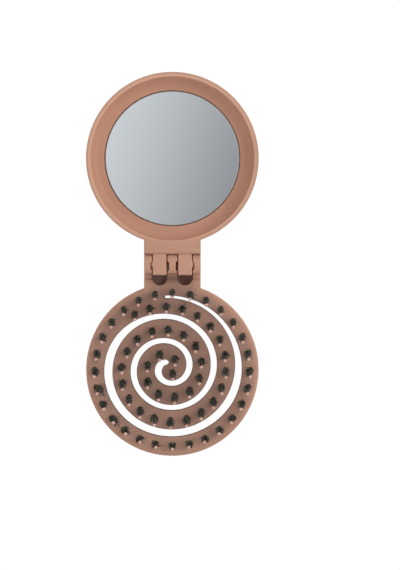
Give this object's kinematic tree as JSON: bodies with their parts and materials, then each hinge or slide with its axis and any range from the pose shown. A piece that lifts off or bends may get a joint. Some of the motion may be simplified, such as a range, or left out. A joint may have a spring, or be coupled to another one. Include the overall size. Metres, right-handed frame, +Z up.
{
  "type": "folding hairbrush with mirror",
  "caption": "Pocket hairbrush that folds: a round bristle plate with a spiral slot, hinged to a round cup that holds a mirror and covers the bristles when closed.",
  "frame": {"origin": "under the middle of the object's box, on the surface that it lies on, opened flat", "axes": "+Y from the bristle head to the mirror head, +Z up out of the mirror and along the bristles, +X along the hinge axis"},
  "size_m": [0.0665, 0.148, 0.0141],
  "materials": {
    "shell_plastic": "satin moulded plastic",
    "plate_plastic": "satin moulded plastic",
    "mirror_glass": "silvered glass",
    "adhesive": "double-sided foam",
    "bristle": "black bristle",
    "nylon": "pale pink nylon",
    "staple_wire": "drawn flat wire"
  },
  "bodies": {
    "brush_head": {"brush_plate": "plate_plastic", "ring_tufts_1": "bristle", "ring_quills_1": "nylon", "ring_staples_1": "staple_wire", "ring_tufts_2": "bristle", "ring_quills_2": "nylon", "ring_staples_2": "staple_wire", "ring_tufts_3": "bristle", "ring_quills_3": "nylon", "ring_staples_3": "staple_wire", "ring_tufts_4": "bristle", "ring_quills_4": "nylon", "ring_staples_4": "staple_wire", "spiral_tufts_1": "bristle", "spiral_quills_1": "nylon", "spiral_staples_1": "staple_wire", "spiral_tufts_2": "bristle", "spiral_quills_2": "nylon", "spiral_staples_2": "staple_wire", "spiral_tufts_3": "bristle", "spiral_quills_3": "nylon", "spiral_staples_3": "staple_wire", "spiral_tufts_4": "bristle", "spiral_quills_4": "nylon", "spiral_staples_4": "staple_wire", "spiral_tufts_5": "bristle", "spiral_quills_5": "nylon", "spiral_staples_5": "staple_wire"},
    "mirror_head": {"mirror_shell": "shell_plastic", "mirror_glass": "mirror_glass", "mirror_adhesive": "adhesive"}
  },
  "joints": [
    {"name": "fold", "type": "hinge", "parent": "brush_head", "child": "mirror_head", "pos_m": [0, 0, 0.0095], "axis": [1, 0, 0], "range_deg": [0, 180]}
  ]
}
